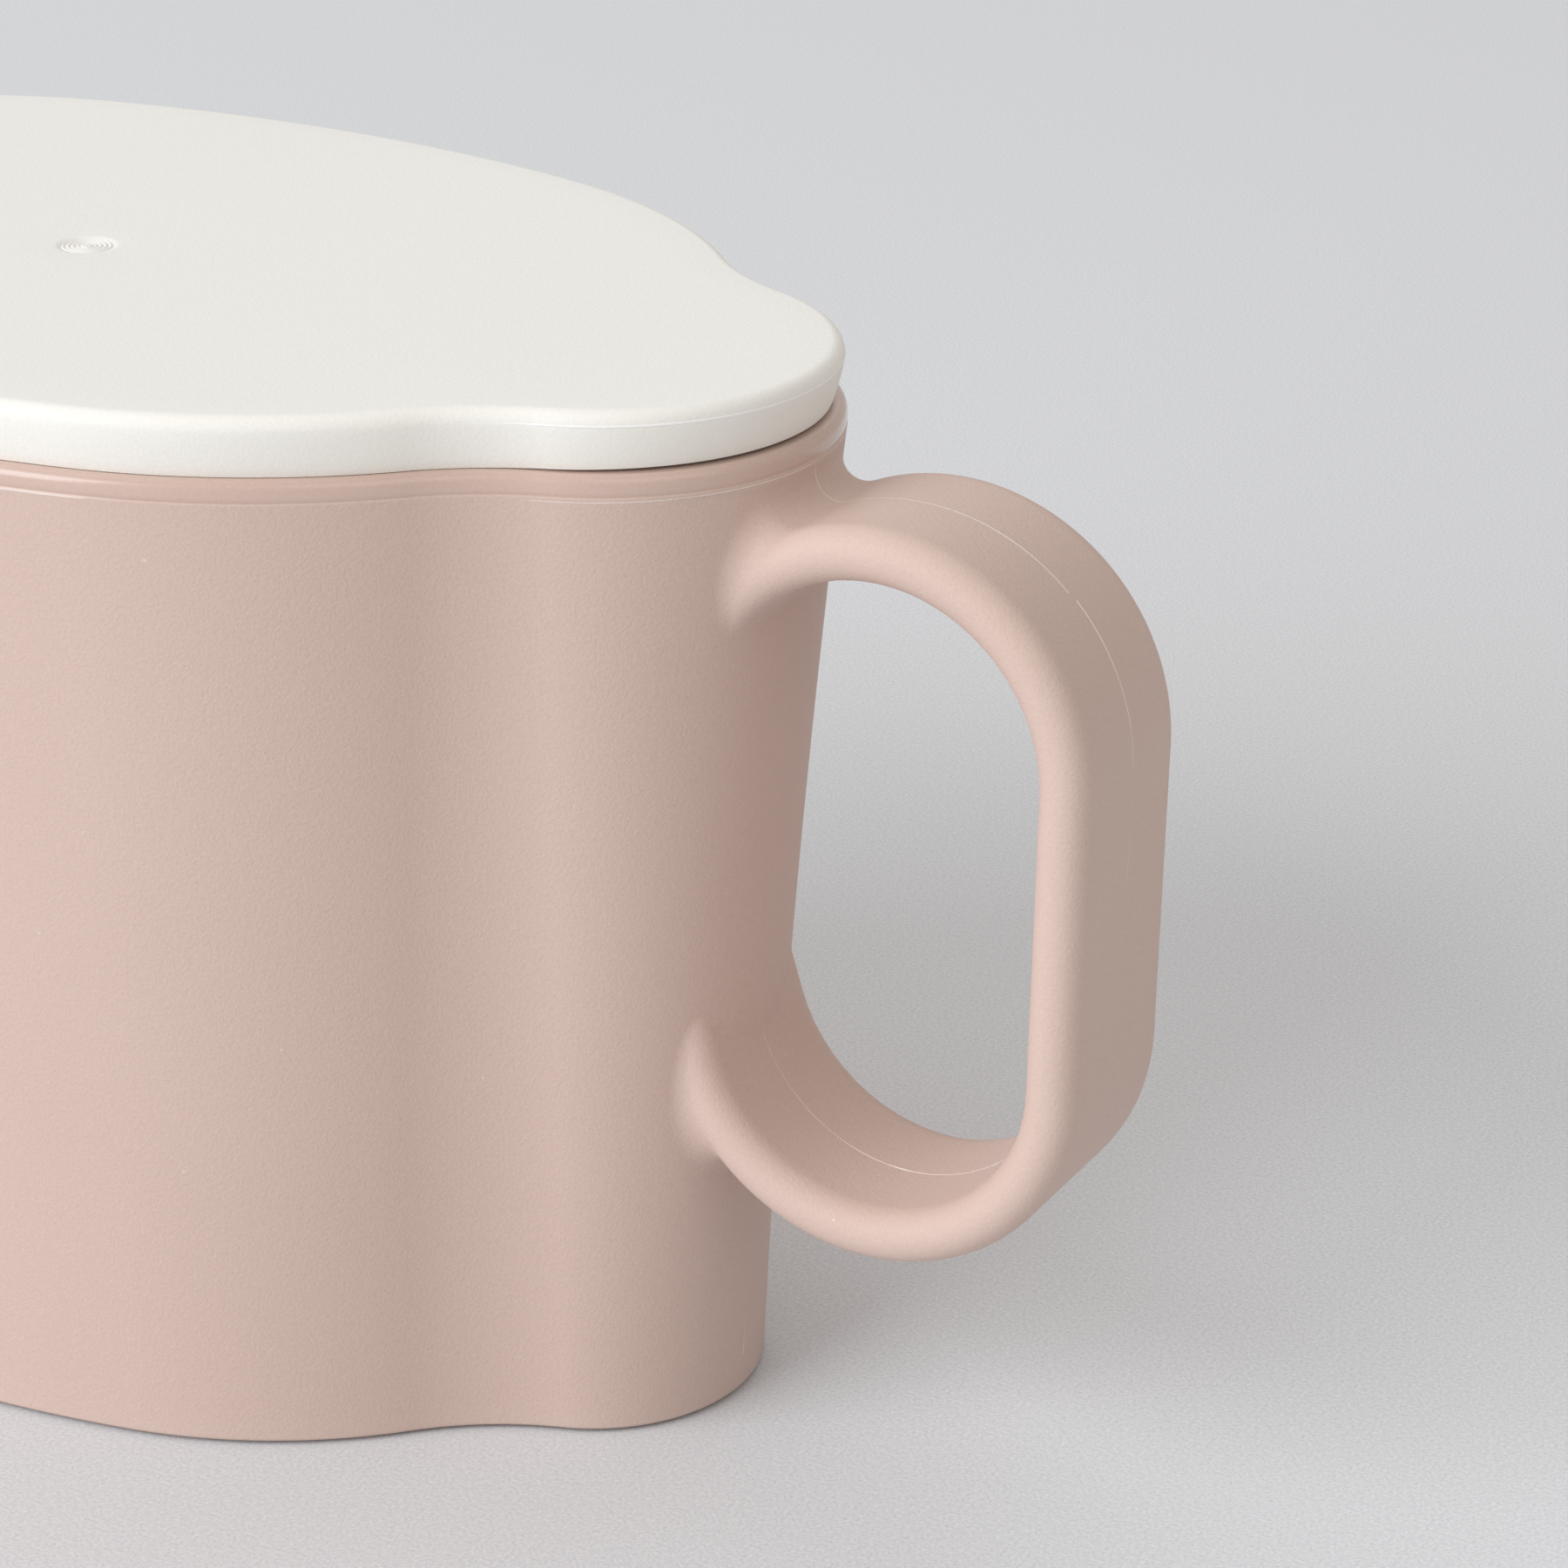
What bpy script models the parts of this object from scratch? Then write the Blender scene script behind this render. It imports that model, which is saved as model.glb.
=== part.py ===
"""Lidded soup mug: a moulded cup with its handle, and a lid that drops onto the rim.

Metres, +Z up. The mug stands on z = 0 with its handle towards +X, and the origin is below the
middle of the whole length, handle included.
"""

import math

import bmesh
import bpy
from mathutils import Vector

# Outline of the lid's widest line from above: a quarter is four tangent arcs, side to nub
HALF_LENGTH = 0.0650
HALF_WIDTH = 0.0379
SIDE_RADIUS = 0.1005
SHOULDER_RADIUS = 0.0430
SHOULDER_SETBACK = 0.0516
VALLEY_RADIUS = 0.0213
NUB_RADIUS = 0.0185
ARC_STEPS = {"side": 4, "shoulder": 6, "valley": 5, "nub": 8}

# Cup: the wall leaves the foot almost upright and flares out to the rim
CUP_HEIGHT = 0.08175
WALL = 0.0022
FLOOR = 0.0026
FOOT_INSET = 0.0047
FOOT_DRAFT = math.radians(1.65)
FOOT_ROUND = 0.0010
FOOT_WIDTH = 0.0040
FOOT_RECESS = 0.0006
FLOOR_ROUND = 0.0060
LIP_HEIGHT = 0.0017
LIP_INSET = 0.0011
RIM_PROUD = 0.0003
WALL_STEPS = 5
ROUND_STEPS = 4

# Handle: a flat strap with round sides, bent into a ring that runs into the wall
GRIP_REACH = 0.0246
STRAP = 0.0042
STRAP_WIDTH = 0.0165
BEND_RADIUS = 0.01545
BEND_SWEEP = math.radians(150)
HANDLE_DROP = 0.0016
HANDLE_HEIGHT = 0.0584
ROOT_FILLET = 0.0019
ROOT_SINK = 0.00008
ROOT_DEPTH = 0.0010
BEND_STEPS = 12
ROOT_STEPS = 5
FILLET_STEPS = 5
STRAP_SIDE_STEPS = 8

# Lid: a top plate, a band that sits on the rim and a skirt that drops inside the cup
LID_ROUND = 0.00105
BAND_HEIGHT = 0.00335
BAND_TAPER = 0.0008
LID_PLATE = 0.0022
SKIRT = 0.0018
SKIRT_DEPTH = 0.0060
SKIRT_ROUND = 0.0004
PLATE_ROUND = 0.0012

# Clearances between the two pieces
SEAT_GAP = 0.0003
SKIRT_CLEARANCE = 0.0005

# Places that follow from the sizes above
RIM_LINE = CUP_HEIGHT - LIP_HEIGHT
LID_BOTTOM = CUP_HEIGHT + SEAT_GAP
LID_PARTING = LID_BOTTOM + BAND_HEIGHT
LID_TOP = LID_PARTING + LID_ROUND
SKIRT_BOTTOM = LID_BOTTOM - SKIRT_DEPTH
GRIP_X = HALF_LENGTH + GRIP_REACH
UPPER_BEND_Z = RIM_LINE - HANDLE_DROP - STRAP / 2 - BEND_RADIUS
LOWER_BEND_Z = UPPER_BEND_Z + 2 * BEND_RADIUS + STRAP - HANDLE_HEIGHT
CUP_X = (HALF_LENGTH + RIM_PROUD - GRIP_X - STRAP / 2) / 2

# Step for measuring slopes and for the last halving
PROBE = 0.000001

# Finish: both pieces are matte plastic, smooth up to a sharp edge
CUP_COLOUR = (0.66, 0.49, 0.42, 1.0)
LID_COLOUR = (0.84, 0.82, 0.76, 1.0)
PLASTIC_ROUGHNESS = 0.55
SHARP_ANGLE = math.radians(40)


def clear_scene():
    for item in list(bpy.data.objects):
        bpy.data.objects.remove(item, do_unlink=True)


def plastic(name, colour):
    material = bpy.data.materials.new(name)
    material.use_nodes = True
    shader = material.node_tree.nodes["Principled BSDF"]
    shader.inputs["Base Color"].default_value = colour
    shader.inputs["Roughness"].default_value = PLASTIC_ROUGHNESS
    shader.inputs["Metallic"].default_value = 0.0
    return material


def direction(angle):
    return Vector((math.cos(angle), math.sin(angle)))


def angle_of(vector):
    return math.atan2(vector.y, vector.x)


def quarter_arcs():
    """The quarter outline's arcs as (centre, radius, first angle, last angle, steps, side).

    Side is 1 where the arc bulges outwards and -1 in the valley between shoulder and nub.
    """
    shoulder_x = HALF_LENGTH - SHOULDER_SETBACK
    side_end = math.pi / 2 - math.asin(shoulder_x / (SIDE_RADIUS - SHOULDER_RADIUS))
    side = Vector((0.0, HALF_WIDTH - SIDE_RADIUS))
    shoulder = side + (SIDE_RADIUS - SHOULDER_RADIUS) * direction(side_end)
    nub = Vector((HALF_LENGTH - NUB_RADIUS, 0.0))

    # the valley's circle touches the shoulder's and the nub's from outside
    to_nub = nub - shoulder
    shoulder_reach = SHOULDER_RADIUS + VALLEY_RADIUS
    nub_reach = NUB_RADIUS + VALLEY_RADIUS
    along = (shoulder_reach**2 - nub_reach**2 + to_nub.length_squared) / (2 * to_nub.length)
    across = math.sqrt(shoulder_reach**2 - along**2)
    forward = to_nub.normalized()
    valley = shoulder + along * forward + across * Vector((-forward.y, forward.x))

    shoulder_end = angle_of(valley - shoulder)
    nub_start = angle_of(valley - nub)
    return [
        (side, SIDE_RADIUS, math.pi / 2, side_end, ARC_STEPS["side"], 1),
        (shoulder, SHOULDER_RADIUS, side_end, shoulder_end, ARC_STEPS["shoulder"], 1),
        (valley, VALLEY_RADIUS, shoulder_end - math.pi, nub_start - math.pi, ARC_STEPS["valley"], -1),
        (nub, NUB_RADIUS, nub_start, 0.0, ARC_STEPS["nub"], 1),
    ]


def outline(offset):
    """The closed plan outline moved outwards by offset, anticlockwise from the nub's tip."""
    quarter = []
    for centre, radius, first, last, steps, side in quarter_arcs():
        for step in range(steps):
            angle = first + (last - first) * step / steps
            quarter.append(centre + (radius + side * offset) * direction(angle))
    quarter.append(Vector((HALF_LENGTH + offset, 0.0)))
    quarter.reverse()
    left = [Vector((-p.x, p.y)) for p in reversed(quarter[:-1])]
    half = quarter + left
    lower = [Vector((p.x, -p.y)) for p in reversed(half[1:-1])]
    return half + lower


def wall_offset(z):
    """How far the cup's outer wall lies outside the lid's outline at height z."""
    rise = math.tan(FOOT_DRAFT)
    curl = (RIM_PROUD + FOOT_INSET - RIM_LINE * rise) / RIM_LINE**2
    return -FOOT_INSET + rise * z + curl * z**2


def skirt_offset(z):
    return wall_offset(z) - WALL - SKIRT_CLEARANCE


def rounded(centre_offset, centre_z, radius_offset, radius_z, first, last):
    """Points of an elliptical rounding in the (offset, z) section, angles in degrees."""
    points = []
    for step in range(ROUND_STEPS + 1):
        angle = math.radians(first + (last - first) * step / ROUND_STEPS)
        points.append(
            (
                centre_offset + radius_offset * math.cos(angle),
                centre_z + radius_z * math.sin(angle),
            )
        )
    return points


def wall_points(bottom, top, shift):
    heights = [bottom + (top - bottom) * step / WALL_STEPS for step in range(WALL_STEPS + 1)]
    return [(wall_offset(z) + shift, z) for z in heights]


def new_object(name, mesh_builder, parent):
    mesh = bpy.data.meshes.new(name)
    mesh_builder.to_mesh(mesh)
    mesh_builder.free()
    item = bpy.data.objects.new(name, mesh)
    bpy.context.scene.collection.objects.link(item)
    item.parent = parent
    return item


def join_rings(builder, rings):
    """Quads between neighbouring rings of vertices, and a flat face on both end rings."""
    for lower, upper in zip(rings, rings[1:]):
        for index in range(len(lower)):
            after = (index + 1) % len(lower)
            builder.faces.new((lower[index], lower[after], upper[after], upper[index]))
    builder.faces.new(rings[0][::-1])
    builder.faces.new(rings[-1])
    bmesh.ops.recalc_face_normals(builder, faces=builder.faces)


def outline_loft(name, section, parent, base_z=0.0):
    """A solid whose rings are the plan outline at each (offset, z) of the section."""
    builder = bmesh.new()
    rings = []
    for offset, z in section:
        rings.append([builder.verts.new((p.x, p.y, z - base_z)) for p in outline(offset)])
    join_rings(builder, rings)
    return new_object(name, builder, parent)


def cup_section():
    """Underside, foot ring, wall and lip, from the middle of the underside to the rim's top."""
    foot_outer = wall_offset(FOOT_ROUND) - FOOT_ROUND
    foot_inner = foot_outer - FOOT_WIDTH
    section = [
        (foot_inner - FOOT_RECESS, FOOT_RECESS),
        (foot_inner, 0.0),
    ]
    section += rounded(foot_outer, FOOT_ROUND, FOOT_ROUND, FOOT_ROUND, -90, 0)
    section += wall_points(FOOT_ROUND, RIM_LINE, 0.0)[1:]
    section += rounded(RIM_PROUD - LIP_INSET, RIM_LINE, LIP_INSET, LIP_HEIGHT, 0, 90)[1:]
    return section


def cavity_section():
    """The inside of the cup, from its floor to just above the rim."""
    floor_z = FOOT_RECESS + FLOOR
    corner_z = floor_z + FLOOR_ROUND
    corner = wall_offset(corner_z) - WALL - FLOOR_ROUND
    section = rounded(corner, corner_z, FLOOR_ROUND, FLOOR_ROUND, -90, 0)
    section += wall_points(corner_z, CUP_HEIGHT + LIP_HEIGHT, -WALL)[1:]
    return section


def wall_gap(point):
    """Distance of a point in front of the nub from the cup's wall, level with it."""
    from_nub = math.hypot(point.x - HALF_LENGTH + NUB_RADIUS, point.y)
    return from_nub - NUB_RADIUS - wall_offset(point.z)


def wall_normal(point):
    slope = (wall_offset(point.z + PROBE) - wall_offset(point.z - PROBE)) / (2 * PROBE)
    level = Vector((point.x - HALF_LENGTH + NUB_RADIUS, point.y, 0.0)).normalized()
    return (level - Vector((0.0, 0.0, slope))).normalized()


def strap_section():
    """Flat strap with fully round sides: each corner's place and facing, as (across, along Y)."""
    half = STRAP / 2
    side = STRAP_WIDTH / 2 - half
    corners = []
    for sign in (1, -1):
        for step in range(STRAP_SIDE_STEPS + 1):
            angle = math.pi * step / STRAP_SIDE_STEPS
            facing = sign * direction(angle)
            corners.append((half * facing + Vector((0.0, sign * side)), facing))
    return corners


def strap_point(bend, run, corner):
    """A corner of the strap after a run along its middle from the grip's end into a bend.

    Past the bend's sweep the strap runs on straight, so it always reaches the wall.
    """
    centre_z, up = bend
    turned = min(run / BEND_RADIUS, BEND_SWEEP)
    beyond = run - turned * BEND_RADIUS
    radius = BEND_RADIUS + corner.x
    x = GRIP_X - BEND_RADIUS + radius * math.cos(turned) - beyond * math.sin(turned)
    rise = radius * math.sin(turned) + beyond * math.cos(turned)
    return Vector((x, corner.y, centre_z + up * rise))


def strap_normal(bend, run, facing):
    turned = min(run / BEND_RADIUS, BEND_SWEEP)
    return Vector((facing.x * math.cos(turned), facing.y, bend[1] * facing.x * math.sin(turned)))


def meeting_run(bend, corner):
    """The run at which this corner of the strap meets the cup's wall, by halving."""
    clear = 0.0
    inside = BEND_RADIUS * BEND_SWEEP + 2 * GRIP_REACH
    while inside - clear > PROBE:
        middle = (clear + inside) / 2
        if wall_gap(strap_point(bend, middle, corner)) > 0:
            clear = middle
        else:
            inside = middle
    return clear


def root_line(bend, corner, facing):
    """Points along one corner of the strap: buried in the wall, round the root's fillet, to the bend."""
    run = meeting_run(bend, corner)
    meeting = strap_point(bend, run, corner)
    wall = wall_normal(meeting)
    strap = strap_normal(bend, run, facing)
    along_wall = (strap - strap.dot(wall) * wall).normalized()
    along_strap = (wall - wall.dot(strap) * strap).normalized()
    half_angle = along_wall.angle(along_strap) / 2
    reach = ROOT_FILLET / math.tan(half_angle)

    # the fillet touches the wall and the strap at the same distance from the corner between them
    on_wall = meeting + reach * along_wall
    on_wall -= (wall_gap(on_wall) + ROOT_SINK) * wall_normal(on_wall)
    probe_step = strap_point(bend, run - PROBE, corner) - meeting
    clear_run = run - PROBE * reach / probe_step.dot(along_strap)
    on_strap = strap_point(bend, clear_run, corner)

    line = [on_wall - ROOT_DEPTH * wall_normal(on_wall)]
    weight = math.sin(half_angle)
    for step in range(FILLET_STEPS + 1):
        t = step / FILLET_STEPS
        shares = ((1 - t) ** 2, 2 * weight * t * (1 - t), t**2)
        blend = shares[0] * on_wall + shares[1] * meeting + shares[2] * on_strap
        line.append(blend / sum(shares))
    quarter_run = BEND_RADIUS * math.pi / 2
    for step in range(1, ROOT_STEPS + 1):
        run = clear_run + (quarter_run - clear_run) * step / ROOT_STEPS
        line.append(strap_point(bend, run, corner))
    return line


def root_rings(bend):
    lines = [root_line(bend, corner, facing) for corner, facing in strap_section()]
    return [list(ring) for ring in zip(*lines)]


def bend_rings(bend):
    """Rings from just past a root's last ring to the grip's end."""
    rings = []
    for step in reversed(range(BEND_STEPS)):
        run = BEND_RADIUS * math.pi / 2 * step / BEND_STEPS
        rings.append([strap_point(bend, run, corner) for corner, _ in strap_section()])
    return rings


def make_handle(parent):
    """The strap as one closed solid, whose two roots are buried in the cup's wall."""
    upper = (UPPER_BEND_Z, 1)
    lower = (LOWER_BEND_Z, -1)
    path = root_rings(upper) + bend_rings(upper)
    path += (root_rings(lower) + bend_rings(lower))[::-1]
    builder = bmesh.new()
    rings = [[builder.verts.new(place) for place in ring] for ring in path]
    join_rings(builder, rings)
    return new_object("handle_strap", builder, parent)


def hide_helper(item):
    item.hide_render = True
    item.display_type = "WIRE"


def combine(item, other, operation):
    modifier = item.modifiers.new(other.name, "BOOLEAN")
    modifier.operation = operation
    modifier.solver = "EXACT"
    modifier.object = other
    hide_helper(other)


def finish(item, material):
    item.data.materials.append(material)
    item.data.shade_smooth()
    item.data.set_sharp_from_angle(angle=SHARP_ANGLE)


def make_mug_body(centre):
    mug = outline_loft("mug_body", cup_section(), centre)
    combine(mug, make_handle(centre), "UNION")
    combine(mug, outline_loft("cup_cavity", cavity_section(), centre), "DIFFERENCE")
    finish(mug, plastic("cup_plastic", CUP_COLOUR))


def lid_section():
    """Top plate, rounded edge, band, seat and skirt, from the top's middle to the underside's."""
    skirt_inner = skirt_offset(SKIRT_BOTTOM) - SKIRT
    plate_bottom = LID_TOP - LID_PLATE
    section = rounded(-LID_ROUND, LID_PARTING, LID_ROUND, LID_ROUND, 90, 0)
    section.append((-BAND_TAPER, LID_BOTTOM))
    section.append((skirt_offset(LID_BOTTOM), LID_BOTTOM))
    section.append((skirt_offset(SKIRT_BOTTOM + SKIRT_ROUND), SKIRT_BOTTOM + SKIRT_ROUND))
    section.append((skirt_offset(SKIRT_BOTTOM) - SKIRT_ROUND, SKIRT_BOTTOM))
    section.append((skirt_inner, SKIRT_BOTTOM))
    section += rounded(
        skirt_inner - PLATE_ROUND, plate_bottom - PLATE_ROUND, PLATE_ROUND, PLATE_ROUND, 0, 90
    )
    return section


def make_lid(centre):
    """The lid hangs on an empty at its seat, on the line along which it lifts."""
    seat = bpy.data.objects.new("lid_seat", None)
    bpy.context.scene.collection.objects.link(seat)
    seat.parent = centre
    seat.location = (0.0, 0.0, LID_BOTTOM)
    lid = outline_loft("lid", lid_section(), seat, base_z=LID_BOTTOM)
    finish(lid, plastic("lid_plastic", LID_COLOUR))


def main():
    clear_scene()
    centre = bpy.data.objects.new("cup_centre", None)
    bpy.context.scene.collection.objects.link(centre)
    centre.location = (CUP_X, 0.0, 0.0)
    make_mug_body(centre)
    make_lid(centre)


main()
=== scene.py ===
import math

import bmesh
import bpy
from mathutils import Matrix, Vector


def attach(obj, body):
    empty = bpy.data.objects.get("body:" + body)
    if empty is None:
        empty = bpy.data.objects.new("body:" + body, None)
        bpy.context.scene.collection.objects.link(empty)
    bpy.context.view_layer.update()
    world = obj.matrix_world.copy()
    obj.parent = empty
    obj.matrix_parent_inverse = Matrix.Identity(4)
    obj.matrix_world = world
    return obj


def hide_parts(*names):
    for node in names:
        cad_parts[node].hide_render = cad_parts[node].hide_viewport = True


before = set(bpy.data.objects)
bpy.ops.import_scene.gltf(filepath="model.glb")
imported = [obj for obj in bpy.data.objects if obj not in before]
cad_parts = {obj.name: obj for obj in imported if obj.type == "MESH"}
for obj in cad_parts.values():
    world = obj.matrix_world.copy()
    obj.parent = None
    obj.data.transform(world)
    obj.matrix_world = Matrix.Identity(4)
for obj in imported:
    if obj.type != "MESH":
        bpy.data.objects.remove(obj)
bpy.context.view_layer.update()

# Cup. The mug is one injection moulding in matte plastic, handle and all. From above it is a lobed
# oval of tangent arcs. Its wall flares up to a smooth, rounded rim, and its lower edge stands just
# clear of the table on a foot ring set in from it.

CUP_X = -0.0132
HALF_LENGTH = 0.0650
HALF_WIDTH = 0.0379
SIDE_RADIUS = 0.1005
SHOULDER_RADIUS = 0.0430
SHOULDER_SETBACK = 0.0516
VALLEY_RADIUS = 0.0213
NUB_RADIUS = 0.0185
NUB_X = CUP_X + HALF_LENGTH - NUB_RADIUS
NUB_STEPS, VALLEY_STEPS, SHOULDER_STEPS, SIDE_STEPS = 40, 18, 32, 18

# the mould's parting line stands proud of every face that it crosses, inside the full size
LINE_PROUD = 0.00004

CUP_HEIGHT = 0.08175
WALL = 0.0022
RIM_LINE = 0.08005
RIM_PROUD = 0.0003 - LINE_PROUD
FOOT_INSET = 0.0047
FOOT_SLOPE = math.tan(math.radians(1.65))
FOOT_ROUND = 0.0004
FOOT_LIFT = 0.0003
FOOT_STEP = 0.0020
FOOT_EDGE = FOOT_LIFT + FOOT_ROUND
FOOT_WIDTH = 0.0040
FOOT_RECESS = 0.0006
FLOOR_THICKNESS = 0.0026
INNER_FLOOR = FOOT_RECESS + FLOOR_THICKNESS
INNER_CORNER = 0.0060
LIP_BULGE = 0.0009
LIP_MIDDLE = RIM_LINE + 0.00053
LIP_ROUND = 0.00081
LIP_LEAN = 0.00002
# degrees of the lip's tuck below its middle, and of its rounding above it
LIP_TUCK = 24
LIP_TURN = (6, 75)
LIP_INNER_ROUND = 0.0003


def compass(angle):
    return Vector((math.cos(angle), math.sin(angle)))


def plan_outline():
    """The lid's widest line from above, anticlockwise from the tip of the nub with the handle."""
    inner = SIDE_RADIUS - SHOULDER_RADIUS
    side_start = math.pi / 2 - math.asin((HALF_LENGTH - SHOULDER_SETBACK) / inner)
    side = Vector((0.0, HALF_WIDTH - SIDE_RADIUS))
    shoulder = side + inner * compass(side_start)
    nub = Vector((HALF_LENGTH - NUB_RADIUS, 0.0))

    # the valley's circle touches the shoulder's and the nub's from outside
    to_nub = nub - shoulder
    from_shoulder = SHOULDER_RADIUS + VALLEY_RADIUS
    from_nub = NUB_RADIUS + VALLEY_RADIUS
    along = (from_shoulder**2 - from_nub**2 + to_nub.length_squared) / (2 * to_nub.length)
    across = math.sqrt(from_shoulder**2 - along**2)
    forward = to_nub.normalized()
    valley = shoulder + along * forward + across * Vector((-forward.y, forward.x))
    nub_end = math.atan2(valley.y - nub.y, valley.x - nub.x)
    shoulder_start = math.atan2(valley.y - shoulder.y, valley.x - shoulder.x)

    quarter = []
    for centre, radius, first, last, steps in (
        (nub, NUB_RADIUS, 0.0, nub_end, NUB_STEPS),
        (valley, VALLEY_RADIUS, nub_end - math.pi, shoulder_start - math.pi, VALLEY_STEPS),
        (shoulder, SHOULDER_RADIUS, shoulder_start, side_start, SHOULDER_STEPS),
        (side, SIDE_RADIUS, side_start, math.pi / 2, SIDE_STEPS),
    ):
        for step in range(steps):
            quarter.append(centre + radius * compass(first + (last - first) * step / steps))
    middle = [Vector((0.0, HALF_WIDTH))]
    half = quarter + middle + [Vector((-p.x, p.y)) for p in reversed(quarter)]
    whole = half + [Vector((p.x, -p.y)) for p in reversed(half[1:-1])]
    return [Vector((CUP_X + p.x, p.y, 0.0)) for p in whole]


OUTLINE = plan_outline()
AROUND = len(OUTLINE)
WALL_CURL = (RIM_PROUD + FOOT_INSET - RIM_LINE * FOOT_SLOPE) / RIM_LINE**2


def wall_offset(z):
    """How far the cup's outer face lies outside the plan outline at height z."""
    return -FOOT_INSET + FOOT_SLOPE * z + WALL_CURL * z**2


def wall_slope(z):
    return FOOT_SLOPE + 2 * WALL_CURL * z


def spread(first, last, steps):
    """Numbers from first to just before last in even steps."""
    return [first + (last - first) * step / steps for step in range(steps)]


def arc_points(centre, radii, first, last, steps):
    """Points of an elliptical arc in a section, ends included, angles in degrees."""
    points = []
    for step in range(steps + 1):
        angle = math.radians(first + (last - first) * step / steps)
        out = centre[0] + radii[0] * math.cos(angle)
        points.append((out, centre[1] + radii[1] * math.sin(angle)))
    return points


def node(tree, kind, inputs=None, **settings):
    """A node with its settings, and with its inputs linked or set by socket name or number."""
    item = tree.nodes.new(kind)
    for key, value in settings.items():
        setattr(item, key, value)
    for key, value in (inputs or {}).items():
        if isinstance(value, bpy.types.NodeSocket):
            tree.links.new(value, item.inputs[key])
        else:
            item.inputs[key].default_value = value
    return item


def maths(tree, operation, *values):
    inputs = dict(enumerate(values))
    return node(tree, "ShaderNodeMath", inputs, operation=operation).outputs[0]


def new_tree(name, kind, inputs, outputs):
    """A node group, and its input sockets as seen from inside."""
    tree = bpy.data.node_groups.new(name, kind)
    for way, sockets in (("INPUT", inputs), ("OUTPUT", outputs)):
        for socket, socket_kind in sockets.items():
            tree.interface.new_socket(socket, in_out=way, socket_type="NodeSocket" + socket_kind)
    return tree, tree.nodes.new("NodeGroupInput").outputs


def make_sweep_tree():
    """Sweeps a section of (distance out, height) points along a path of edges.

    The section's points are pushed out by the cup wall's own rule, which is zero for other pieces.
    """
    tree, given = new_tree(
        "swept moulding",
        "GeometryNodeTree",
        {
            "Path": "Geometry",
            "Section": "Object",
            "Foot inset": "Float",
            "Foot slope": "Float",
            "Rim height": "Float",
            "Rim proud": "Float",
            "Material": "Material",
        },
        {"Moulding": "Geometry"},
    )
    drawn_at = node(tree, "GeometryNodeInputPosition").outputs[0]
    place = node(tree, "ShaderNodeSeparateXYZ", {0: drawn_at})
    out, height = place.outputs["X"], place.outputs["Y"]
    straight = maths(tree, "MULTIPLY", given["Rim height"], given["Foot slope"])
    flare = maths(tree, "ADD", given["Rim proud"], given["Foot inset"])
    flare = maths(tree, "SUBTRACT", flare, straight)
    curl = maths(tree, "DIVIDE", flare, maths(tree, "POWER", given["Rim height"], 2.0))
    lean = maths(tree, "MULTIPLY_ADD", curl, height, given["Foot slope"])
    push = maths(tree, "SUBTRACT", maths(tree, "MULTIPLY", lean, height), given["Foot inset"])
    moved = node(
        tree,
        "ShaderNodeCombineXYZ",
        {"X": maths(tree, "ADD", out, push), "Y": maths(tree, "MULTIPLY", height, -1.0)},
    )
    drawn = node(tree, "GeometryNodeObjectInfo", {"Object": given["Section"]})
    line = node(tree, "GeometryNodeMeshToCurve", {"Mesh": drawn.outputs["Geometry"]})
    section = node(
        tree,
        "GeometryNodeSetPosition",
        {"Geometry": line.outputs[0], "Position": moved.outputs[0]},
    )
    path = node(tree, "GeometryNodeMeshToCurve", {"Mesh": given["Path"]})
    swept = node(
        tree,
        "GeometryNodeCurveToMesh",
        {"Curve": path.outputs[0], "Profile Curve": section.outputs[0]},
    )
    real = node(tree, "GeometryNodeRealizeInstances", {"Geometry": swept.outputs[0]})
    skin = node(
        tree,
        "GeometryNodeSetMaterial",
        {"Geometry": real.outputs[0], "Material": given["Material"]},
    )
    node(tree, "NodeGroupOutput", {"Moulding": skin.outputs[0]})
    return tree


SWEEP = make_sweep_tree()


def edge_line(name, points, closed, marks=None):
    """A helper object whose edges join the points in order, with number marks on its points."""
    mesh = bpy.data.meshes.new(name)
    edges = [(index, index + 1) for index in range(len(points) - 1)]
    if closed:
        edges.append((len(points) - 1, 0))
    mesh.from_pydata([Vector(point).to_3d() for point in points], edges, [])
    for mark, values in (marks or {}).items():
        mesh.attributes.new(mark, "FLOAT", "POINT").data.foreach_set("value", values)
    item = bpy.data.objects.new(name, mesh)
    bpy.context.scene.collection.objects.link(item)
    return item


def grow_nodes(host, tree, values):
    """The plain mesh that a Geometry Nodes tree makes of a helper object, which is then removed."""
    modifier = host.modifiers.new(tree.name, "NODES")
    modifier.node_group = tree
    for socket in tree.interface.items_tree:
        if socket.in_out == "INPUT" and socket.name in values:
            modifier[socket.identifier] = values[socket.name]
    evaluated = host.evaluated_get(bpy.context.evaluated_depsgraph_get())
    mesh = bpy.data.meshes.new_from_object(evaluated)
    host.modifiers.remove(modifier)
    bpy.data.objects.remove(host)
    return mesh


def sweep(path, closed_path, section, closed_section, material, marks=None, flare=None):
    """The mesh of a section swept along a path: point j at step i is vertex i * len(section) + j.

    Both are given as points, with whether each is closed, and marks are values on the section's.
    """
    drawn = edge_line("section", section, closed_section, marks)
    host = edge_line("path", path, closed_path)
    values = {"Section": drawn, "Material": material, "Rim height": RIM_LINE}
    values.update(flare or {})
    mesh = grow_nodes(host, SWEEP, values)
    bpy.data.objects.remove(drawn)
    return mesh


PATCHES_PER_FLOW = 4.0
NOISE_MIDDLE = 0.5


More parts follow.
